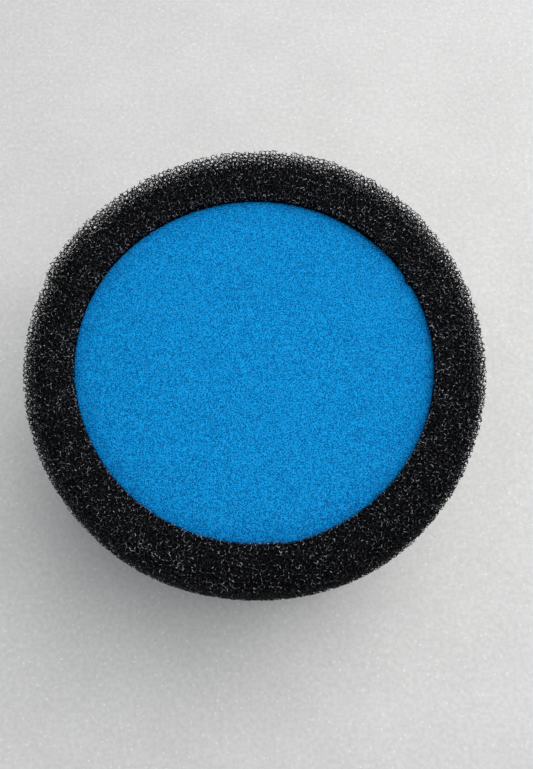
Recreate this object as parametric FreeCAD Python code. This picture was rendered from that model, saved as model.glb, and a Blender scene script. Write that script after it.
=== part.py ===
import FreeCAD, Part
import os

# Two-stage foam filter cartridge for a pond or aquarium pump.
# Water is drawn through a coarse foam sleeve, then through a fine foam core, and leaves by a slotted
# strainer tube whose open end pushes over the pump's inlet spigot.
# Frame: millimetres, +Z up, origin on the resting plane at the centre of the underside.

# Coarse sleeve: one strip bent into a ring and glued end to end.
SLEEVE_OUTER_R = 75.0
SLEEVE_WALL = 16.0
SLEEVE_HEIGHT = 100.0
SEAM_ANGLE_DEG = 157.0
SEAM_GLUE = 0.6

# Fine core: a bored ring with a solid disc glued over its upper end.
CORE_HEIGHT = 96.0
END_DISC_THICKNESS = 30.0
DISC_GLUE = 0.4
SOFT_GAP = 0.3

# Strainer: a slotted tube with a push-in cap, a foot flange and a rubber bush for the pump's spigot.
TUBE_OUTER_R = 18.0
TUBE_WALL = 2.0
TUBE_HEIGHT = 60.0
SHOULDER_WIDTH = 1.5
SHOULDER_HEIGHT = 1.5
SLOT_WIDTH = 4.0
SLOT_HEIGHT = 9.0
SLOT_PAIRS = 6
SLOT_ROWS = 3
SLOT_PITCH = 11.0
FIRST_SLOT_Z = 20.0
CAP_THICKNESS = 2.5
CAP_SPIGOT_DEPTH = 5.0
CAP_SPIGOT_WALL = 1.5
FLANGE_R = 30.0
FLANGE_THICKNESS = 3.0
HUB_WALL = 3.0
HUB_HEIGHT = 5.0
FLANGE_DRAIN_R = 1.8
FLANGE_DRAINS = 8
BUSH_LENGTH = 16.0
SPIGOT_BORE_R = 12.5
BORE_LEAD_IN = 1.0
MOULDED_ROUND = 0.8

# Values that follow from the sizes above.
CORE_OUTER_R = SLEEVE_OUTER_R - SLEEVE_WALL - SOFT_GAP
RING_HEIGHT = CORE_HEIGHT - END_DISC_THICKNESS - DISC_GLUE
HUB_R = TUBE_OUTER_R + HUB_WALL
HUB_TOP = FLANGE_THICKNESS + HUB_HEIGHT
TUBE_INNER_R = TUBE_OUTER_R - TUBE_WALL
UP = FreeCAD.Vector(0, 0, 1)


def disc(radius, height, bottom=0.0):
    """Upright solid cylinder on the Z axis."""
    return Part.makeCylinder(radius, height, FreeCAD.Vector(0, 0, bottom))


def ring(outer, inner, height, bottom=0.0):
    """Upright tube on the Z axis."""
    return disc(outer, height, bottom).cut(disc(inner, height, bottom))


def turned(shape, angle):
    """The shape turned about the Z axis by an angle in degrees."""
    shape.rotate(FreeCAD.Vector(0, 0, 0), UP, angle)
    return shape


def rounded_rim(shape, radius, height):
    """The shape with its sharp circular edge of this radius, at this height, rounded as a moulding is."""
    circles = [edge for edge in shape.Edges if isinstance(edge.Curve, Part.Circle)]
    level = [edge for edge in circles if abs(edge.Curve.Center.z - height) < 0.01]
    return shape.makeFillet(MOULDED_ROUND, [edge for edge in level if abs(edge.Curve.Radius - radius) < 0.01])


def seam_slab():
    """Thin radial slab through one side of the sleeve's wall, at the glued butt joint."""
    start = FreeCAD.Vector(0, -SEAM_GLUE / 2, 0)
    slab = Part.makeBox(SLEEVE_OUTER_R + SLEEVE_WALL, SEAM_GLUE, SLEEVE_HEIGHT, start)
    return turned(slab, SEAM_ANGLE_DEG)


def sleeve_ring():
    """Whole foam ring before its seam is cut."""
    return ring(SLEEVE_OUTER_R, SLEEVE_OUTER_R - SLEEVE_WALL, SLEEVE_HEIGHT)


def coarse_sleeve():
    """Coarse foam strip, bent round, with a narrow gap where its two ends meet."""
    return sleeve_ring().cut(seam_slab())


def sleeve_seam_bond():
    """Glue line between the two ends of the strip."""
    return sleeve_ring().common(seam_slab())


def fine_core_ring():
    """Fine foam ring, bored for the tube and relieved for the hub and the flange."""
    body = disc(CORE_OUTER_R, RING_HEIGHT)
    body = body.cut(disc(TUBE_OUTER_R + SOFT_GAP, RING_HEIGHT))
    body = body.cut(disc(HUB_R + SOFT_GAP, HUB_TOP + SOFT_GAP))
    return body.cut(disc(FLANGE_R + SOFT_GAP, FLANGE_THICKNESS + SOFT_GAP))


def core_disc_bond():
    """Glue film that joins the disc to the ring."""
    return disc(CORE_OUTER_R, DISC_GLUE, RING_HEIGHT)


def fine_end_disc():
    """Solid fine foam disc that closes the upper end."""
    return disc(CORE_OUTER_R, END_DISC_THICKNESS, RING_HEIGHT + DISC_GLUE)


def strainer_tube():
    """Slotted suction tube with an inner shoulder that the bush stops against."""
    tube = ring(TUBE_OUTER_R, TUBE_INNER_R, TUBE_HEIGHT)
    shoulder = ring(TUBE_INNER_R + TUBE_WALL / 2, TUBE_INNER_R - SHOULDER_WIDTH, SHOULDER_HEIGHT, BUSH_LENGTH)
    tube = tube.fuse(shoulder)
    for row in range(SLOT_ROWS):
        bottom = FIRST_SLOT_Z + row * SLOT_PITCH
        for pair in range(SLOT_PAIRS):
            start = FreeCAD.Vector(-2 * TUBE_OUTER_R, -SLOT_WIDTH / 2, bottom)
            cutter = Part.makeBox(4 * TUBE_OUTER_R, SLOT_WIDTH, SLOT_HEIGHT, start)
            tube = tube.cut(turned(cutter, pair * 180.0 / SLOT_PAIRS))
    return tube.removeSplitter()


def strainer_end_cap():
    """Plug that closes the tube's upper end."""
    top = disc(TUBE_OUTER_R, CAP_THICKNESS, TUBE_HEIGHT)
    inner = TUBE_INNER_R - CAP_SPIGOT_WALL
    spigot = ring(TUBE_INNER_R, inner, CAP_SPIGOT_DEPTH, TUBE_HEIGHT - CAP_SPIGOT_DEPTH)
    cap = top.fuse(spigot).removeSplitter()
    return rounded_rim(cap, TUBE_OUTER_R, TUBE_HEIGHT + CAP_THICKNESS)


def base_flange():
    """Foot flange with a hub that grips the tube, and drain holes between them."""
    flange = disc(FLANGE_R, FLANGE_THICKNESS).fuse(disc(HUB_R, HUB_TOP))
    flange = flange.cut(disc(TUBE_OUTER_R, HUB_TOP)).removeSplitter()
    flange = rounded_rim(flange, FLANGE_R, FLANGE_THICKNESS)
    flange = rounded_rim(flange, HUB_R, HUB_TOP)
    drain_circle = (HUB_R + FLANGE_R) / 2
    for number in range(FLANGE_DRAINS):
        hole = Part.makeCylinder(FLANGE_DRAIN_R, FLANGE_THICKNESS, FreeCAD.Vector(drain_circle, 0, 0))
        flange = flange.cut(turned(hole, (number + 0.5) * 360.0 / FLANGE_DRAINS))
    return flange


def socket_bush():
    """Rubber bush that grips the pump's inlet spigot, with a chamfered mouth."""
    bush = ring(TUBE_INNER_R, SPIGOT_BORE_R, BUSH_LENGTH)
    lead_in = Part.makeCone(SPIGOT_BORE_R + BORE_LEAD_IN, SPIGOT_BORE_R, BORE_LEAD_IN)
    return bush.cut(lead_in)


NODES = {
    "coarse_sleeve": coarse_sleeve,
    "sleeve_seam_bond": sleeve_seam_bond,
    "fine_core_ring": fine_core_ring,
    "core_disc_bond": core_disc_bond,
    "fine_end_disc": fine_end_disc,
    "strainer_tube": strainer_tube,
    "strainer_end_cap": strainer_end_cap,
    "base_flange": base_flange,
    "socket_bush": socket_bush,
}

os.makedirs("parts", exist_ok=True)
for node, make in NODES.items():
    shape = make()
    shape.exportStep("parts/" + node + ".step")
    print(node, shape.ShapeType, len(shape.Solids), round(shape.Volume, 1), shape.isValid())
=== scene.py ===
import itertools
import math

import bpy
import numpy as np
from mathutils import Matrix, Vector


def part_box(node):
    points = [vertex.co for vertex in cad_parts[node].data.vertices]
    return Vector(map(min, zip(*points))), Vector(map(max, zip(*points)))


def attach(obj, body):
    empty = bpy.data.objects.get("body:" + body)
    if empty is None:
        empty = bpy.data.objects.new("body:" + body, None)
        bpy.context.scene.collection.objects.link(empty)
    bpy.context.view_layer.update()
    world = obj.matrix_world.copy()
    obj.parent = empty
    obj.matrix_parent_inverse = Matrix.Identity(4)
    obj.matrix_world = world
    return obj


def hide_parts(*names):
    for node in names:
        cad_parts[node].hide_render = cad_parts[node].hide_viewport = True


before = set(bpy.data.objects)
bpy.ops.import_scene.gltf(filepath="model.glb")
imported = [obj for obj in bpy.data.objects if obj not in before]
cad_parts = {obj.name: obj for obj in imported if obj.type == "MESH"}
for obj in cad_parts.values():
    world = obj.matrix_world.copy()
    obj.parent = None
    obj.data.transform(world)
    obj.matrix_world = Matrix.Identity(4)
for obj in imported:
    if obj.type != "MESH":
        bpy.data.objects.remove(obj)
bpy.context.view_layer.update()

# Looks of a two-stage foam filter cartridge. Lengths are in metres and +Z is up.
MM = 0.001
TURN = 2 * math.pi

# Sizes that follow from the frame.
SLEEVE_LOW, SLEEVE_HIGH = (np.array(corner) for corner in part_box("coarse_sleeve"))
CORE_LOW, CORE_HIGH = (np.array(corner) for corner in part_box("fine_core_ring"))
DISC_LOW, DISC_HIGH = (np.array(corner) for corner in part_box("fine_end_disc"))
FLANGE_HIGH = np.array(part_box("base_flange")[1])
TUBE_HIGH = np.array(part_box("strainer_tube")[1])
SLEEVE_R = (SLEEVE_HIGH[0] - SLEEVE_LOW[0]) / 2
SLEEVE_TOP = SLEEVE_HIGH[2]
CORE_R = (DISC_HIGH[0] - DISC_LOW[0]) / 2
# Gap that the core's foam keeps from the sleeve and from the strainer.
SOFT_GAP = 0.3 * MM
SLEEVE_INNER_R = CORE_R + SOFT_GAP
SLEEVE_WALL = SLEEVE_R - SLEEVE_INNER_R
SEAM_ANGLE = math.radians(157)

# Coarse foam: cell size, strut size, how the strip was bent and how far the painted light reaches into it.
CELL = 1.7 * MM
STRUT_R = 0.125 * MM
STRIP_NEUTRAL_R = SLEEVE_R - 4 * MM
SECTORS = 16
LIT_DEPTH = 1.2 * MM
# Painted glints: the higher this is, the fewer strands are painted bright.
GLINT_RARITY = 3.0
# Share of painted light that strands in the fringe lose, and how much thicker they are.
FRINGE_SHADE = 0.85
FRINGE_THICKENING = 0.18
# How far long waves push the foam about, as a share of their length, and how far each knot strays, in CELLs.
WARP = 0.010
KNOT_STRAY = 0.04
# The foam's repeating block: its bubbles, how many others can touch one, how often its knots are evened out,
# and a bubble's volume in CELLs cubed.
BUBBLES = 150
NEIGHBOURS = 32
SMOOTHINGS = 2
CELL_FILL = 0.77
# How deep the open lattice reaches below each face. Behind it lies a dark solid heart: the foam's own black,
# and painted shade for the foam deeper in.
TOP_DEPTH = 2.0 * MM
SIDE_DEPTH = 1.05 * MM
FRINGE_WIDTH = 6.0 * MM
FRINGE_DROP = 13.0 * MM
UNDER_DEPTH = 0.8 * MM
BORE_DEPTH = 0.6 * MM
HEART_OVERLAP = 0.5 * MM
# The heart's mesh step, the depth of its pits and the height of its lumps.
HEART_STEP = 1.6 * MM
HEART_PIT = 1.2 * MM
HEART_LUMP = 0.12 * MM
# How far the bore's loose strands lean in over the fine core's edge.
BORE_LIP = 0.8 * MM

# Fine foam: ring count of the disc's top, step on the sides, bubble size and depth.
DISC_RINGS = 145
SIDE_STEP = 0.8 * MM
FINE_CELL = 0.8 * MM
FINE_PIT = 0.40 * MM
RIM_ROLL = 0.3 * MM
# How far in from the blue's rim its painted shade reaches, next to the black sleeve's wall.
RIM_SHADE_REACH = 3.5 * MM
# Pores a metre in the fine foam's finest grain.
FINE_PORES = 1500

# Camera and light.
CAMERA_LENS = 40.0
CAMERA_PLACE = (3.9 * MM, -77.4 * MM, 367.0 * MM)
CAMERA_TILT = 14.5
ROOM_LIGHT = 0.42
KEY_POWER = 4.0


# ---------------------------------------------------------------- shared helpers

def new_mesh(name, points, triangles, smooth=True):
    """One object from an array of points and an array of triangles."""
    mesh = bpy.data.meshes.new(name)
    mesh.vertices.add(len(points))
    mesh.vertices.foreach_set("co", np.ascontiguousarray(points, np.float32).ravel())
    mesh.loops.add(len(triangles) * 3)
    mesh.loops.foreach_set("vertex_index", np.ascontiguousarray(triangles, np.int32).ravel())
    mesh.polygons.add(len(triangles))
    mesh.polygons.foreach_set("loop_start", np.arange(len(triangles), dtype=np.int32) * 3)
    mesh.polygons.foreach_set("use_smooth", np.full(len(triangles), smooth))
    mesh.update(calc_edges=True)
    piece = bpy.data.objects.new(name, mesh)
    bpy.context.scene.collection.objects.link(piece)
    return piece


def number_values(piece, name, values, domain="POINT"):
    """Stores one number for each of the piece's points or faces, for its material to read."""
    attribute = piece.data.attributes.new(name, "FLOAT", domain)
    attribute.data.foreach_set("value", np.ascontiguousarray(values, np.float32))


def smoothstep(value, low, high):
    share = np.clip((value - low) / (high - low), 0, 1)
    return share * share * (3 - 2 * share)


def as_share(value):
    """The low 24 bits of an array of whole numbers, as numbers from 0 to 1."""
    return (value & np.uint32(0xFFFFFF)).astype(np.float64) / 0x1000000


def scrambled(x, y, z, seed):
    """Three hashed arrays from 0 to 1 for whole-number cells."""
    h = (x * 73856093) ^ (y * 19349663) ^ (z * 83492791) ^ seed
    h = h.astype(np.uint32)
    out = []
    for _ in range(3):
        h = (h ^ (h >> np.uint32(16))) * np.uint32(0x45D9F3B)
        h = (h ^ (h >> np.uint32(15))) * np.uint32(0x2C1B3C6D)
        h = h ^ (h >> np.uint32(16))
        out.append(as_share(h))
    return out


def cell_distances(points, spacing, seed):
    """Distances from each point to the nearest and second nearest of scattered centres, in spacings."""
    scaled = points / spacing
    home = np.floor(scaled).astype(np.int64)
    first = np.full(len(points), 9.0)
    second = first.copy()
    for step in itertools.product((-1, 0, 1), repeat=3):
        cell = home + step
        centre = cell + np.stack(scrambled(cell[:, 0], cell[:, 1], cell[:, 2], seed), 1)
        away = np.linalg.norm(scaled - centre, axis=1)
        second = np.minimum(second, np.maximum(first, away))
        first = np.minimum(first, away)
    return first, second


# ---------------------------------------------------------------- coarse foam sleeve

# Heights in mm by which the sleeve's outer face stands off its true circle: all round, at the strip's flared
# end, and lost lower down. The fine core's edge has its own: all round, at its step, and lost at its nick.
SLEEVE_STAND_OFF, SEAM_FLARE, LOWER_SLIMMING = 0.4, 1.1, 1.1
CORE_STAND_OFF, CORE_STEP, CORE_NICK = 0.3, 0.8, 0.9
# Broad bulges and flats of the two: (centre and width in degrees, height in mm).
SLEEVE_BULGES = ((65, 30, 1.1), (245, 20, 0.6), (300, 30, 1.3))
CORE_BULGES = ((20, 30, 0.6), (95, 30, -0.5), (165, 30, 0.9))


def bump(angle, centre, width):
    """Smooth hump of height 1 at an angle in degrees."""
    away = np.degrees(np.angle(np.exp(1j * (angle - math.radians(centre))))) / width
    return np.exp(-away * away)


def uneven(angle, bulges):
    """Height in mm of a few humps round a circle."""
    return sum(height * bump(angle, centre, width) for centre, width, height in bulges)


def outline_swell(angle, z):
    """How far the sleeve's outer face stands off its true circle: full at the top, and flared at one end."""
    before_seam = np.mod(SEAM_ANGLE - angle, TURN)
    flare = smoothstep(before_seam, math.radians(30), 0) * SEAM_FLARE
    slimmer = LOWER_SLIMMING * smoothstep(SLEEVE_TOP - z, 3 * MM, 24 * MM)
    return (SLEEVE_STAND_OFF + uneven(angle, SLEEVE_BULGES) + flare - slimmer) * MM


def core_outline(angle):
    """How far the fine core's edge stands off its true circle: a nick, and a step that fades out."""
    step_foot, step_top, step_fade = 276, 281, 30
    nick_place, nick_width = 29, 1.3
    degrees = np.degrees(np.mod(angle, TURN))
    fade = np.exp(-np.maximum(degrees - step_top, 0) / step_fade)
    step = CORE_STEP * smoothstep(degrees, step_foot, step_top) * fade
    nick = CORE_NICK * bump(angle, nick_place, nick_width)
    return (CORE_STAND_OFF + uneven(angle, CORE_BULGES) + step - nick) * MM


def side_depth(z):
    """Depth of the open lattice behind the outer face. It deepens to the top, where light comes through."""
    share = np.clip((z - (SLEEVE_TOP - FRINGE_DROP)) / (FRINGE_DROP - TOP_DEPTH), 0, 1)
    return SIDE_DEPTH + (FRINGE_WIDTH - SIDE_DEPTH) * share


def spread_bubbles(random):
    """Centres of the bubbles in one repeating unit block, pushed apart until they lie evenly in no order."""
    pushes, push_share, reach_share = 80, 0.3, 1.15
    centres = random.random((BUBBLES, 3))
    reach = reach_share * BUBBLES ** (-1 / 3)
    for _ in range(pushes):
        apart = centres[:, None] - centres
        apart -= np.round(apart)
        away = np.linalg.norm(apart, axis=2) + np.eye(BUBBLES)
        push = np.clip(1 - away / reach, 0, None) / away
        centres += push_share * reach * (apart * push[..., None]).sum(1)
    return centres % 1


def cell_edges(centre, images):
    """Both ends of each edge of the cell that is nearer to one bubble's centre than to any other."""
    around = images - centre
    nearest = np.argsort((around**2).sum(1))[1:NEIGHBOURS + 1]
    around = around[nearest]
    square = (around**2).sum(1, keepdims=True)
    triples = np.array(list(itertools.combinations(range(NEIGHBOURS), 3)))
    a, b, c = (around[triples[:, i]] for i in range(3))
    square_a, square_b, square_c = (square[triples[:, i]] for i in range(3))
    b_by_c = np.cross(b, c)
    corner = square_a * b_by_c + square_b * np.cross(c, a) + square_c * np.cross(a, b)
    corner /= 2 * (a * b_by_c).sum(1, keepdims=True)
    nearest_of_all = (corner @ around.T <= square[:, 0] / 2 + 1e-9).all(1)
    corner, owners = corner[nearest_of_all] + centre, triples[nearest_of_all]
    pairs = np.concatenate([owners[:, [0, 1]], owners[:, [0, 2]], owners[:, [1, 2]]])
    order = np.argsort(pairs @ [NEIGHBOURS, 1], kind="stable")
    return corner[np.tile(np.arange(len(corner)), 3)[order]].reshape(-1, 2, 3)


def random_foam(random):
    """Nodes of one unit block of a random foam that repeats, the four that each joins and in which blocks."""
    centres = spread_bubbles(random)
    images = np.concatenate([centres + step for step in itertools.product((-1, 0, 1), repeat=3)])
    edges = np.concatenate([cell_edges(centre, images) for centre in centres])
    edges = np.concatenate([edges, edges[:, ::-1]])
    blocks = np.floor(edges).astype(int)
    ends = np.round(edges - blocks, 7)
    nodes, number = np.unique(ends.reshape(-1, 3), axis=0, return_inverse=True)
    number = number.reshape(-1, 2)
    links = np.unique(np.column_stack([number, blocks[:, 1] - blocks[:, 0]]), axis=0)
    links = links.reshape(len(nodes), 4, 5)
    others, steps = links[..., 1], links[..., 2:]
    for _ in range(SMOOTHINGS):
        nodes = nodes + 0.5 * ((nodes[others] + steps).mean(1) - nodes)
    return nodes, others, steps


def turn_matrix(a, b, c):
    """Rotation about X, then Y, then Z."""
    ca, sa, cb, sb, cc, sc = math.cos(a), math.sin(a), math.cos(b), math.sin(b), math.cos(c), math.sin(c)
    about_x = np.array([[1, 0, 0], [0, ca, -sa], [0, sa, ca]])
    about_y = np.array([[cb, 0, sb], [0, 1, 0], [-sb, 0, cb]])
    about_z = np.array([[cc, -sc, 0], [sc, cc, 0], [0, 0, 1]])
    return about_z @ about_y @ about_x


STRIP_LENGTH = TURN * STRIP_NEUTRAL_R
STRIP = np.array([STRIP_LENGTH, SLEEVE_WALL, SLEEVE_TOP])


def strip_angle(x):
    return SEAM_ANGLE + x / STRIP_NEUTRAL_R


def face_depths(p):
    """Depth of strip points (along, outward, up) below the outer face, bore, top, underside and ends."""
    angle = strip_angle(p[:, 0])
    outer = STRIP[1] + outline_swell(angle, p[:, 2]) - p[:, 1]
    loose_lip = BORE_LIP * smoothstep(p[:, 2], DISC_HIGH[2], DISC_HIGH[2] + 1 * MM)
    bore = p[:, 1] - core_outline(angle) + loose_lip
    return outer, bore, STRIP[2] - p[:, 2], p[:, 2], np.minimum(p[:, 0], STRIP[0] - p[:, 0])


def in_open_zone(p, margin=0.0):
    """True for strip points in the open lattice, widened by a margin."""
    outer, bore, top, under, ends = face_depths(p)
    inside = np.minimum.reduce([outer, bore, top, under, ends]) > -margin
    shallow = outer < side_depth(p[:, 2]) + margin
    shallow |= (top < TOP_DEPTH + margin) | (under < UNDER_DEPTH + margin) | (bore < BORE_DEPTH + margin)
    return inside & shallow


def foam_lattice(spacing, seed):
    """Nodes of an irregular open-cell foam in strip coordinates, and the four nodes that each joins."""
    random = np.random.default_rng(seed)
    nodes, others, steps = random_foam(random)
    period = spacing * (CELL_FILL * BUBBLES) ** (1 / 3)
    turn = turn_matrix(0.5, 0.35, 0.8)
    corners = np.array(list(itertools.product(*[(0, side) for side in STRIP]))) @ turn / period
    low = np.floor(corners.min(0)).astype(int) - 1
    shape = np.ceil(corners.max(0)).astype(int) + 2 - low
    grid = np.stack(np.meshgrid(*[np.arange(n) for n in shape], indexing="ij"), -1).reshape(-1, 3)
    centres = ((grid + low + 0.5) * period) @ turn.T
    grid = grid[in_open_zone(centres, period)]
    slot = np.full(shape, -1)
    slot[tuple(grid.T)] = np.arange(len(grid))
    points = ((grid[:, None] + low + nodes) * period).reshape(-1, 3) @ turn.T
    joined = np.full((len(grid), len(nodes), 4), -1)
    for number in range(4):
        block = np.clip(grid[:, None] + steps[:, number], 0, shape - 1)
        found = slot[tuple(np.moveaxis(block, -1, 0))]
        joined[..., number] = np.where(found >= 0, found * len(nodes) + others[:, number], -1)
    kept = in_open_zone(points, 1.5 * spacing)
    place = np.where(kept, np.cumsum(kept) - 1, -1)
    joined = joined.reshape(-1, 4)[kept]
    joined = np.where(joined >= 0, place[joined], -1)
    points = points[kept] + random.normal(0, KNOT_STRAY * spacing, (np.count_nonzero(kept), 3))
    for wavelength in (6 * MM, 8 * MM, 11 * MM, 15 * MM, 20 * MM, 27 * MM):
        along = random.normal(size=3)
        along *= TURN / wavelength / np.linalg.norm(along)
        push = random.normal(size=3) * WARP * wavelength
        points += np.sin(points @ along + wavelength / MM)[:, None] * push
    return points, joined


def bent(p):
    """Strip coordinates bent round to the sleeve's place."""
    angle = strip_angle(p[..., 0])
    radius = SLEEVE_INNER_R + p[..., 1]
    return np.stack([radius * np.cos(angle), radius * np.sin(angle), p[..., 2]], -1)


# The three corners of a tetrahedron's face opposite each corner, wound outwards for a positive volume.
OPPOSITE = np.array([[1, 2, 3], [0, 3, 2], [0, 1, 3], [0, 2, 1]])


def strut_mesh(points, joined, drawn, shown, reach, thick, lit):
    """Closed mesh of struts with three sides that meet in four-cornered knots.

    drawn marks this piece's nodes, shown every node of the foam, and reach is the share of each strut that
    is left where its far node isn't shown. Returns points, triangles and how well lit each triangle is."""
    ids = np.flatnonzero(drawn)
    far_ids = joined[ids]
    known = far_ids >= 0
    here = points[ids]
    away = np.where(known[..., None], points[far_ids], here[:, None] + 1e-6) - here[:, None]
    length = np.linalg.norm(away, axis=2, keepdims=True)
    toward = away / length
    knots = here[:, None] - toward * thick[ids][:, None, None]
    edges = knots[:, 1:] - knots[:, :1]
    volume = np.einsum("ij,ij->i", np.cross(edges[:, 0], edges[:, 1]), edges[:, 2])
    faces = np.where((volume > 0)[:, None, None], OPPOSITE, OPPOSITE[:, ::-1])
    faces = faces + np.arange(len(ids))[:, None, None] * 4
    place = np.full(len(points), -1)
    place[ids] = np.arange(len(ids))
    far_place = np.where(known, place[far_ids], -1)
    far_shown = known & shown[far_ids]
    mine = np.arange(len(ids))[:, None]
    both = (far_place > mine)
    stub = known & (far_place < 0) & np.where(far_shown, ids[:, None] < far_ids, reach[ids] > 0.5)
    capped = ~both & ~stub & (far_place < 0)
    vertices = [knots.reshape(-1, 3)]
    triangles = [faces[capped]]
    shares = [np.zeros(np.count_nonzero(capped))]

    a, number = np.nonzero(both)
    b = far_place[a, number]
    back = np.argmax(joined[ids[b]] == ids[a][:, None], axis=1)
    ring_a = faces[a, number]
    ring_b = faces[b, back][:, ::-1]
    flat = knots.reshape(-1, 3)
    turned = np.stack([np.roll(ring_b, shift, axis=1) for shift in range(3)], 1)
    gap = np.linalg.norm(flat[turned] - flat[ring_a][:, None], axis=3).sum(2)
    ring_b = turned[np.arange(len(a)), gap.argmin(1)]
    triangles += tube_sides(ring_a, ring_b)
    shares += [lit[ids[a], number]] * 6

    a, number = np.nonzero(stub)
    left = np.where(far_shown[a, number], 1.0, reach[ids[a], number])
    ring_a = faces[a, number]
    ends = flat[ring_a] + (away[a, number] * left[:, None])[:, None]
    ring_b = len(flat) + np.arange(len(a) * 3).reshape(-1, 3)
    vertices.append(ends.reshape(-1, 3))
    triangles += tube_sides(ring_a, ring_b) + [ring_b]
    shares += [lit[ids[a], number]] * 7
    return np.concatenate(vertices), np.concatenate(triangles), np.concatenate(shares)


def tube_sides(ring_a, ring_b):
    """Triangles of three-sided tubes between matching rings of three points."""
    sides = []
    for i in range(3):
        j = (i + 1) % 3
        sides.append(np.stack([ring_a[:, i], ring_a[:, j], ring_b[:, j]], 1))
        sides.append(np.stack([ring_a[:, i], ring_b[:, j], ring_b[:, i]], 1))
    return sides


def sleeve_struts():
    """The open black foam, in sectors round the ring."""
    points, joined = foam_lattice(CELL, seed=11)
    random = np.random.default_rng(12)
    outer, bore, top, under, ends = face_depths(points)
    depth = np.minimum.reduce([outer, bore, top, under, ends])
    shortest_stub = 0.45
    thinnest, thickest = 0.85, 1.2
    shown = in_open_zone(points)
    far_depth = depth[joined]
    reach = depth[:, None] / np.maximum(depth[:, None] - far_depth, 1e-9)
    reach = np.where(far_depth > 0, 1.0, reach * random.uniform(shortest_stub, 1.0, joined.shape))
    # Painted light and shade on the strands: lighter near the faces and darker deeper in, darker in the
    # fringe and towards the strip's cut ends, and bright at random as painted glints.
    lit = np.exp(-np.maximum(depth, 0) / LIT_DEPTH)
    fringe = np.exp(-np.maximum(outer, 0) / (2 * MM) - np.maximum(top, 0) / (8 * MM))
    lit *= 1 - FRINGE_SHADE * fringe
    lit *= smoothstep(ends, -0.5 * MM, 2 * MM)
    thick = STRUT_R * random.uniform(thinnest, thickest, len(points)) * (1 + FRINGE_THICKENING * fringe)
    lit = lit[:, None] * random.uniform(0, 1, joined.shape) ** GLINT_RARITY
    placed = bent(points)
    sector = np.clip((points[:, 0] / STRIP_LENGTH * SECTORS).astype(int), 0, SECTORS - 1)
    made = []
    for number in range(SECTORS):
        drawn = shown & (sector == number)
        corners, triangles, shares = strut_mesh(placed, joined, drawn, shown, reach, thick, lit)
        corners[:, 2] = np.maximum(corners[:, 2], 0)
        piece = new_mesh(f"coarse_foam_{number + 1:02d}", corners, triangles)
        number_values(piece, "lit", shares, "FACE")
        made.append(piece)
    return made


def closed_loop_mesh(grid):
    """Points and triangles of a closed ring: grid is rounds by profile points, both wrapping on."""
    rounds, profile = grid.shape[:2]
    index = np.arange(rounds * profile).reshape(rounds, profile)
    right = np.roll(index, -1, axis=0)
    up = np.roll(index, -1, axis=1)
    across = np.roll(right, -1, axis=1)
    lower = np.stack([index, across, right], -1).reshape(-1, 3)
    upper = np.stack([index, up, across], -1).reshape(-1, 3)
    return grid.reshape(-1, 3), np.concatenate([lower, upper])


def evenly_along(corners, spacings):
    """Points along a closed run of corners, each leg cut at its own spacing, and each point's leg number."""
    points, legs = [], []
    for number, (start, spacing) in enumerate(zip(corners, spacings)):
        end = corners[(number + 1) % len(corners)]
        count = max(1, round(float(np.linalg.norm(end - start)) / spacing))
        share = np.arange(count)[:, None] / count
        points.append(start + (end - start) * share)
        legs.append(np.full(count, number))
    return np.concatenate(points), np.concatenate(legs)


def profile_normals(profile):
    """Outward unit normals of a closed (radius, height) profile that runs clockwise round its area."""
    along = np.roll(profile, -1, axis=0) - np.roll(profile, 1, axis=0)
    normal = np.stack([-along[:, 1], along[:, 0]], 1)
    return normal / np.linalg.norm(normal, axis=1, keepdims=True)


def lathe(profile, columns):
    """Grid of points for a profile turned round the Z axis, and the outward direction at each."""
    angle = np.arange(columns) * TURN / columns
    normal = profile_normals(profile)
    spread = np.stack([np.cos(angle), np.sin(angle)], 1)
    grid = np.concatenate([spread[:, None] * profile[None, :, :1],
                           np.broadcast_to(profile[None, :, 1:], (columns, len(profile), 1))], 2)
    outward = np.concatenate([spread[:, None] * normal[None, :, :1],
                              np.broadcast_to(normal[None, :, 1:], (columns, len(profile), 1))], 2)
    return grid, outward


def sleeve_heart():
    """Dark pitted body behind the open lattice, where no light comes back from."""
    low = UNDER_DEPTH - HEART_OVERLAP
    high = SLEEVE_TOP - TOP_DEPTH + HEART_OVERLAP
    outer = SLEEVE_R + HEART_OVERLAP
    fringe_foot = SLEEVE_TOP - FRINGE_DROP
    corners = np.array([
        [SLEEVE_INNER_R + BORE_DEPTH - HEART_OVERLAP, low],
        [SLEEVE_INNER_R + BORE_DEPTH - HEART_OVERLAP, high],
        [outer - FRINGE_WIDTH, high],
        [outer - SIDE_DEPTH, fringe_foot],
        [outer - SIDE_DEPTH, low],
    ])
    profile, _ = evenly_along(corners, [HEART_STEP] * len(corners))
    columns = int(TURN * SLEEVE_R / HEART_STEP)
    grid, outward = lathe(profile, columns)
    angle = np.arctan2(grid[..., 1], grid[..., 0])
    radius = np.hypot(grid[..., 0], grid[..., 1])
    share = smoothstep(radius, SLEEVE_INNER_R + BORE_DEPTH, SLEEVE_R - SIDE_DEPTH)
    stand_off = outline_swell(angle, grid[..., 2]) * share + core_outline(angle) * (1 - share)
    grid[..., :2] *= (1 + stand_off / radius)[..., None]
    flat = grid.reshape(-1, 3)
    near, _ = cell_distances(flat, CELL, seed=5)
    depth = np.maximum((0.5 - near) * HEART_PIT, -HEART_LUMP)
    flat = flat - outward.reshape(-1, 3) * depth[:, None]
    _, triangles = closed_loop_mesh(grid)
    return new_mesh("coarse_heart", flat, triangles)


# ---------------------------------------------------------------- seam of the sleeve

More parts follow.
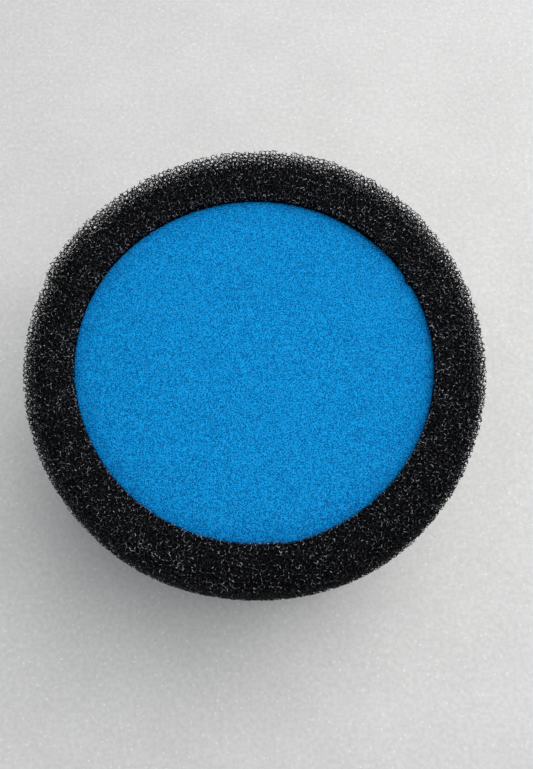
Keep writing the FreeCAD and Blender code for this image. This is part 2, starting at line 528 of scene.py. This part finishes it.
def seam_film():
    """Uneven film of glue in the strip's butt joint, a little short of the faces."""
    across, up = 20, 110
    y = np.linspace(0.5 * MM, SLEEVE_WALL - 0.4 * MM, across)
    z = np.linspace(0.6 * MM, SLEEVE_TOP - 1.3 * MM, up)
    grid = np.stack(np.meshgrid(y, z, indexing="ij"), -1)
    wave = np.sin(grid[..., 0] * 1900 + np.sin(grid[..., 1] * 700) * 2) * np.sin(grid[..., 1] * 1300 + 1)
    half_thickness, ripple, ragged_top = 0.26, 0.10, 0.25 * MM
    half = (half_thickness + ripple * wave) * MM
    grid[..., 1] += np.where(z > SLEEVE_TOP / 2, ragged_top, 0) * np.sin(grid[..., 0] * 2600)
    start = SLEEVE_INNER_R + core_outline(SEAM_ANGLE)
    end = SLEEVE_R + outline_swell(SEAM_ANGLE + 0.01, grid[..., 1])
    radius = start + grid[..., 0] / SLEEVE_WALL * (end - start)
    sides = []
    for sign in (-1, 1):
        angle = SEAM_ANGLE + sign * half / radius
        sides.append(np.stack([radius * np.cos(angle), radius * np.sin(angle), grid[..., 1]], -1))
    return new_mesh("sleeve_seam_film", *closed_pair(*sides))


def closed_pair(back, front):
    """Two matching grids of points joined all round into one closed sheet."""
    rows, columns = back.shape[:2]
    index = np.arange(rows * columns).reshape(rows, columns)
    quads = np.stack([index[:-1, :-1], index[1:, :-1], index[1:, 1:], index[:-1, 1:]], -1).reshape(-1, 4)
    rim = np.concatenate([index[:, 0], index[-1, 1:], index[-2::-1, -1], index[0, -2:0:-1]])
    after = np.roll(rim, -1)
    count = rows * columns
    wall = np.stack([rim, after, after + count, rim + count], 1)
    every = np.concatenate([quads, quads[:, ::-1] + count, wall[:, ::-1]])
    triangles = np.concatenate([every[:, [0, 1, 2]], every[:, [0, 2, 3]]])
    return np.concatenate([back.reshape(-1, 3), front.reshape(-1, 3)]), triangles


# ---------------------------------------------------------------- fine foam core

def pitted(flat, outward, spacing, depth, seed):
    """Points pushed in where foam bubbles were cut open, and how deep in its bubble each lies, 0 to 1."""
    first, second = cell_distances(flat, spacing, seed)
    full_depth_at, roundness = 0.55, 0.8
    hollow = np.clip((second - first) / full_depth_at, 0, 1) ** roundness
    return flat - outward * (hollow * depth)[:, None], hollow


def disc_rings(count):
    """Unit disc of rings with six more points each time, as polar points and triangles."""
    radius, angle, triangles = [np.zeros(1)], [np.zeros(1)], []
    start = 0
    for ring in range(1, count + 1):
        size = 6 * ring
        radius.append(np.full(size, ring / count))
        angle.append(np.arange(size) * TURN / size)
        inner_size = max(1, size - 6)
        inner, outer = start, start + inner_size
        corner = np.repeat(np.arange(6), ring)
        step = np.tile(np.arange(ring), 6)
        a = inner + (corner * (ring - 1) + step) % inner_size
        b = outer + corner * ring + step
        c = outer + (corner * ring + step + 1) % size
        triangles.append(np.stack([a, b, c], 1))
        keep = step < ring - 1
        d = inner + (corner * (ring - 1) + step + 1) % inner_size
        triangles.append(np.stack([a, c, d], 1)[keep])
        start = outer
    return np.concatenate(radius), np.concatenate(angle), np.concatenate(triangles)


def fine_end_disc():
    """Blue foam disc: a pitted top with a soft rim, a pitted side and a flat glued underside."""
    radius, angle, triangles = disc_rings(DISC_RINGS)
    columns = 6 * DISC_RINGS
    rim = np.arange(len(radius) - columns, len(radius))
    edge = CORE_R + core_outline(angle)
    inward = (1 - radius) * CORE_R
    roll_width, sag = 1.0 * MM, 0.12 * MM
    roll = RIM_ROLL * np.clip(1 - inward / roll_width, 0, 1) ** 2
    top = np.stack([radius * edge * np.cos(angle), radius * edge * np.sin(angle), DISC_HIGH[2] - roll], 1)
    top[:, 2] -= sag * (1 + np.sin(top[:, 0] * 90 + 1) * np.sin(top[:, 1] * 75))
    up = np.zeros_like(top)
    up[:, 2] = 1
    up[rim] = np.stack([np.cos(angle[rim]), np.sin(angle[rim]), np.ones(columns)], 1) / math.sqrt(2)
    rows = round((DISC_HIGH[2] - DISC_LOW[2]) / SIDE_STEP)
    heights = np.linspace(DISC_HIGH[2] - RIM_ROLL, DISC_LOW[2], rows + 1)[1:]
    wall_angle = np.tile(angle[rim], rows)
    wall_edge = np.tile(edge[rim], rows)
    out = np.stack([np.cos(wall_angle), np.sin(wall_angle), np.zeros(len(wall_angle))], 1)
    wall = out * wall_edge[:, None]
    wall[:, 2] = np.repeat(heights, columns)
    points = np.concatenate([top, wall])
    outward = np.concatenate([up, out])
    points, hollow = pitted(points, outward, FINE_CELL, FINE_PIT, seed=21)
    band = np.concatenate([rim[None], len(radius) + np.arange(rows * columns).reshape(rows, columns)])
    right = np.roll(band, -1, axis=1)
    side = [np.stack([band[:-1], band[1:], right[1:]], -1).reshape(-1, 3),
            np.stack([band[:-1], right[1:], right[:-1]], -1).reshape(-1, 3)]
    middle = len(points)
    points = np.concatenate([points, [[0, 0, DISC_LOW[2]]]])
    under = np.stack([np.full(columns, middle), right[-1], band[-1]], 1)
    piece = new_mesh("fine_foam_disc", points, np.concatenate([triangles, *side, under]))
    number_values(piece, "hollow", np.concatenate([hollow, [0.5]]))
    # Painted shade: the blue darkens towards its rim and the top of its side, where the black sleeve's wall
    # stands over it.
    wall_rim_shade = np.exp(-(DISC_HIGH[2] - wall[:, 2]) / RIM_SHADE_REACH)
    rim_shade = np.concatenate([np.exp(-inward / RIM_SHADE_REACH), wall_rim_shade, [0]])
    number_values(piece, "rim_shade", rim_shade * 0.8)
    return piece


def fine_core_ring():
    """Blue foam ring, bored and relieved for the strainer, with pitted faces."""
    hub_wall, hub_above_relief = 3 * MM, 4.7 * MM
    tube_r = TUBE_HIGH[0] + SOFT_GAP
    hub_r, flange_r = tube_r + hub_wall, FLANGE_HIGH[0] + SOFT_GAP
    hub_z, flange_z = FLANGE_HIGH[2] + SOFT_GAP, FLANGE_HIGH[2] - hub_above_relief
    top, under = CORE_HIGH[2], CORE_LOW[2]
    corners = np.array([
        [CORE_R, under], [flange_r, under], [flange_r, flange_z], [hub_r, flange_z],
        [hub_r, hub_z], [tube_r, hub_z], [tube_r, top], [CORE_R, top],
    ])
    hidden, seen = 6 * MM, 1.2 * MM
    spacings = [SIDE_STEP, seen, seen, seen, seen, seen, hidden, SIDE_STEP]
    profile, leg = evenly_along(corners, spacings)
    grid, outward = lathe(profile, int(TURN * CORE_R / SIDE_STEP))
    angle = np.arctan2(grid[..., 1], grid[..., 0])
    radius = np.hypot(grid[..., 0], grid[..., 1])
    share = smoothstep(radius, flange_r, CORE_R)
    grid[..., :2] *= (1 + core_outline(angle) * share / radius)[..., None]
    depth = np.where(np.isin(leg, (0, 7)), FINE_PIT, FINE_PIT / 2)
    depth = np.where(leg == 6, 0, depth)
    flat, hollow = pitted(grid.reshape(-1, 3), outward.reshape(-1, 3), FINE_CELL * 1.3,
                          np.tile(depth, len(grid)), seed=22)
    _, triangles = closed_loop_mesh(grid)
    piece = new_mesh("fine_foam_ring", flat, triangles)
    number_values(piece, "hollow", hollow)
    return piece


# ---------------------------------------------------------------- materials

class Nodes:
    """Short calls for building one material's nodes."""

    def __init__(self, name):
        self.material = bpy.data.materials.new(name)
        self.material.use_nodes = True
        self.tree = self.material.node_tree
        self.shader = self.tree.nodes["Principled BSDF"]

    def add(self, kind, inputs=(), **settings):
        node = self.tree.nodes.new("ShaderNode" + kind)
        for key, value in settings.items():
            setattr(node, key, value)
        for key, value in dict(inputs).items():
            if isinstance(value, bpy.types.NodeSocket):
                self.tree.links.new(value, node.inputs[key])
            else:
                node.inputs[key].default_value = value
        return node

    def place(self):
        return self.add("TexCoord").outputs["Object"]

    def noise(self, scale, detail=3.0, roughness=0.6):
        inputs = {"Vector": self.place(), "Scale": scale, "Detail": detail, "Roughness": roughness}
        return self.add("TexNoise", inputs).outputs["Fac"]

    def cells(self, scale, feature="F1"):
        inputs = {"Vector": self.place(), "Scale": scale}
        return self.add("TexVoronoi", inputs, feature=feature).outputs["Distance"]

    def ramp(self, value, stops):
        node = self.add("ValToRGB", {"Fac": value})
        elements = node.color_ramp.elements
        while len(elements) < len(stops):
            elements.new(0.5)
        for element, (place, colour) in zip(elements, stops):
            element.position = place
            element.color = (*colour, 1)
        return node.outputs["Color"]

    def spread(self, value, low, high, to_low, to_high):
        inputs = {"Value": value, "From Min": low, "From Max": high, "To Min": to_low, "To Max": to_high}
        return self.add("MapRange", inputs).outputs["Result"]

    def maths(self, operation, a, b):
        return self.add("Math", {0: a, 1: b}, operation=operation).outputs["Value"]

    def blend(self, kind, share, a, b):
        node = self.add("Mix", data_type="RGBA", blend_type=kind)
        for socket, value in ((node.inputs[0], share), (node.inputs[6], a), (node.inputs[7], b)):
            if isinstance(value, bpy.types.NodeSocket):
                self.tree.links.new(value, socket)
            else:
                socket.default_value = value
        return node.outputs[2]

    def finish(self, colour, roughness, height=None, bump=0.3, distance=0.1 * MM, specular=0.5):
        link = self.tree.links.new
        link(colour, self.shader.inputs["Base Color"])
        link(roughness, self.shader.inputs["Roughness"])
        self.shader.inputs["Specular IOR Level"].default_value = specular
        if height is not None:
            relief = self.add("Bump", {"Height": height, "Strength": bump, "Distance": distance})
            link(relief.outputs["Normal"], self.shader.inputs["Normal"])
        return self.material


def coarse_strut_material():
    """Black strands with painted light and shade: grey near the faces, pale painted glints on a few, and
    painted shade that leaves them jet black within.
    """
    n = Nodes("coarse_foam_strands")
    lit = n.add("Attribute", attribute_name="lit").outputs["Fac"]
    lit_noise = n.spread(n.noise(1500, 3), 0.35, 0.65, 0.45, 1.35)
    black, grey, pale = (0.0008, 0.0009, 0.0013), (0.046, 0.050, 0.063), (0.36, 0.38, 0.43)
    # The lit number, varied by noise, runs from black through grey to pale painted glints.
    colour = n.ramp(n.maths("MULTIPLY", lit, lit_noise), [(0.04, black), (0.28, grey), (0.75, pale)])
    rough = n.spread(n.noise(2600, 2), 0.35, 0.65, 0.30, 0.65)
    return n.finish(colour, rough, n.noise(5200, 2), 0.2, 0.04 * MM, specular=0.16)


def coarse_heart_material():
    """The dark depth of the coarse foam, where only faint strands show. Its near-black is the foam's own
    black and painted shade for foam that light doesn't reach.
    """
    n = Nodes("coarse_foam_depth")
    strands = n.cells(1 / (0.62 * CELL), "DISTANCE_TO_EDGE")
    colour = n.ramp(strands, [(0.02, (0.006, 0.0062, 0.0075)), (0.14, (0.0006, 0.0006, 0.0008))])
    rough = n.spread(strands, 0.0, 0.2, 0.7, 0.95)
    return n.finish(colour, rough, strands, 0.8, 0.6 * MM, specular=0.06)


def fine_foam_material():
    """Blue foam: bright cut edges, deep blue hollows and a finer grain within them. The hollows' darker blue
    is painted shade, and so is the darkening towards the rim.
    """
    n = Nodes("fine_blue_foam")
    hollow = n.add("Attribute", attribute_name="hollow").outputs["Fac"]
    pores = n.spread(n.cells(FINE_PORES, "DISTANCE_TO_EDGE"), 0.03, 0.34, 0.0, 0.62)
    specks = n.spread(n.noise(2200, 2, 0.5), 0.38, 0.62, 0.0, 0.66)
    grain = n.maths("ADD", pores, specks)
    # Painted shade in the cut bubbles' hollows, added to the fine grain: the higher the sum, the darker the
    # blue.
    depth = n.maths("ADD", n.spread(hollow, 0.1, 1, 0.0, 0.15), grain)
    edge_blue, mid_blue, hollow_shade_blue = (0.008, 0.36, 0.82), (0.001, 0.205, 0.52), (0.0003, 0.08, 0.27)
    colour = n.ramp(depth, [(0.15, edge_blue), (0.65, mid_blue), (1.0, hollow_shade_blue)])
    drift = n.ramp(n.noise(60, 3), [(0.3, (0.92, 0.94, 0.95)), (0.7, (1.0, 1.0, 1.0))])
    colour = n.blend("MULTIPLY", 1.0, colour, drift)
    # Painted shade: the blue is multiplied darker towards its rim, next to the black sleeve's wall.
    rim_shade = n.add("Attribute", attribute_name="rim_shade").outputs["Fac"]
    colour = n.blend("MULTIPLY", rim_shade, colour, (0.45, 0.55, 0.66, 1))
    rough = n.spread(n.noise(1800, 2), 0.3, 0.7, 0.65, 0.9)
    return n.finish(colour, rough, n.maths("SUBTRACT", 1.0, grain), 0.5, 0.15 * MM, specular=0.05)


def plastic_material():
    """Black moulded plastic with a fine spark texture and slight handling marks."""
    n = Nodes("black_moulded_plastic")
    marks = n.noise(140, 5)
    colour = n.ramp(marks, [(0.35, (0.013, 0.0135, 0.015)), (0.7, (0.026, 0.027, 0.029))])
    rough = n.spread(marks, 0.3, 0.7, 0.32, 0.55)
    return n.finish(colour, rough, n.noise(3800, 2), 0.25, 0.05 * MM)


def rubber_material():
    """Dark grey rubber with a dusty bloom."""
    n = Nodes("bush_rubber")
    bloom = n.noise(260, 4)
    colour = n.ramp(bloom, [(0.35, (0.024, 0.024, 0.025)), (0.7, (0.055, 0.055, 0.056))])
    rough = n.spread(bloom, 0.3, 0.7, 0.6, 0.85)
    return n.finish(colour, rough, n.noise(2400, 3), 0.3, 0.06 * MM, specular=0.3)


def glue_material(name, dark, light, lump_scale):
    """Dried foam glue, uneven in thickness and shine."""
    n = Nodes(name)
    lumps = n.noise(lump_scale, 4)
    colour = n.ramp(lumps, [(0.3, dark), (0.7, light)])
    rough = n.spread(lumps, 0.3, 0.7, 0.25, 0.6)
    return n.finish(colour, rough, lumps, 0.5, 0.2 * MM)


def floor_material():
    """Pale stone with a fine grey mottle and a few brighter grains."""
    n = Nodes("pale_floor")
    clouds = n.ramp(n.noise(22, 5, 0.65), [(0.3, (0.66, 0.66, 0.655)), (0.7, (0.72, 0.72, 0.715))])
    grains = n.ramp(n.noise(520, 3), [(0.38, (0.90, 0.90, 0.90)), (0.62, (1.0, 1.0, 1.0))])
    colour = n.blend("MULTIPLY", 1.0, clouds, grains)
    sparks = n.spread(n.cells(330), 0.05, 0.22, 0.55, 0.0)
    colour = n.blend("MIX", sparks, colour, (0.9, 0.9, 0.9, 1))
    rough = n.spread(n.noise(300, 2), 0.3, 0.7, 0.45, 0.7)
    return n.finish(colour, rough, n.noise(420, 3), 0.1, 0.3 * MM, specular=0.3)


def wear(piece, material):
    """Gives every slot of a piece this material."""
    if not piece.material_slots:
        piece.data.materials.append(material)
    for slot in piece.material_slots:
        slot.material = material


# ---------------------------------------------------------------- stage

def make_floor():
    bpy.ops.mesh.primitive_plane_add(size=60, location=(0, 0, -0.05 * MM))
    floor = bpy.context.object
    floor.name = "floor"
    wear(floor, floor_material())


def area_light(name, place, aim, size, spread, power, colour):
    """A round panel of light with a beam of a given width in degrees."""
    data = bpy.data.lights.new(name, "AREA")
    data.shape = "DISK"
    data.size = size
    data.spread = math.radians(spread)
    data.energy = power
    data.color = colour
    light = bpy.data.objects.new(name, data)
    bpy.context.scene.collection.objects.link(light)
    light.location = place
    heading = Vector(aim) - light.location
    light.rotation_euler = heading.to_track_quat("-Z", "Y").to_euler()


def make_lights():
    world = bpy.data.worlds.new("soft_room")
    bpy.context.scene.world = world
    world.use_nodes = True
    room = world.node_tree.nodes["Background"]
    room.inputs["Color"].default_value = (0.92, 0.96, 1.0, 1)
    room.inputs["Strength"].default_value = ROOM_LIGHT
    area_light("window", (0.36, 0.2, 0.95), (0.1, 0.08, 0.0), 1.0, 110, KEY_POWER, (1.0, 0.985, 0.96))


def make_camera():
    """Nearly overhead, tipped forward from the near side, as close as a hand-held picture."""
    data = bpy.data.cameras.new("camera")
    data.lens = CAMERA_LENS
    data.clip_start = 0.01
    camera = bpy.data.objects.new("camera", data)
    bpy.context.scene.collection.objects.link(camera)
    camera.location = CAMERA_PLACE
    camera.rotation_euler = (math.radians(CAMERA_TILT), 0, 0)
    bpy.context.scene.camera = camera


bpy.context.scene.view_settings.view_transform = "Standard"
make_camera()
make_lights()
make_floor()

strands, depth_black = coarse_strut_material(), coarse_heart_material()
for strut_piece in sleeve_struts():
    wear(strut_piece, strands)
    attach(strut_piece, "sleeve")
    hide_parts("coarse_sleeve")

heart = sleeve_heart()
wear(heart, depth_black)
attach(heart, "sleeve")
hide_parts("coarse_sleeve")

film = seam_film()
wear(film, glue_material("black_seam_glue", (0.003, 0.003, 0.0035), (0.010, 0.010, 0.011), 900))
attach(film, "sleeve")
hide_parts("sleeve_seam_bond")

blue = fine_foam_material()
for maker, node in ((fine_end_disc, "fine_end_disc"), (fine_core_ring, "fine_core_ring")):
    foam = maker()
    wear(foam, blue)
    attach(foam, "core")
    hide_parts(node)

plastic = plastic_material()
for node in ("strainer_tube", "strainer_end_cap", "base_flange"):
    wear(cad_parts[node], plastic)
wear(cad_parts["socket_bush"], rubber_material())
core_glue = glue_material("core_glue", (0.07, 0.20, 0.33), (0.16, 0.33, 0.44), 500)
wear(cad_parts["core_disc_bond"], core_glue)
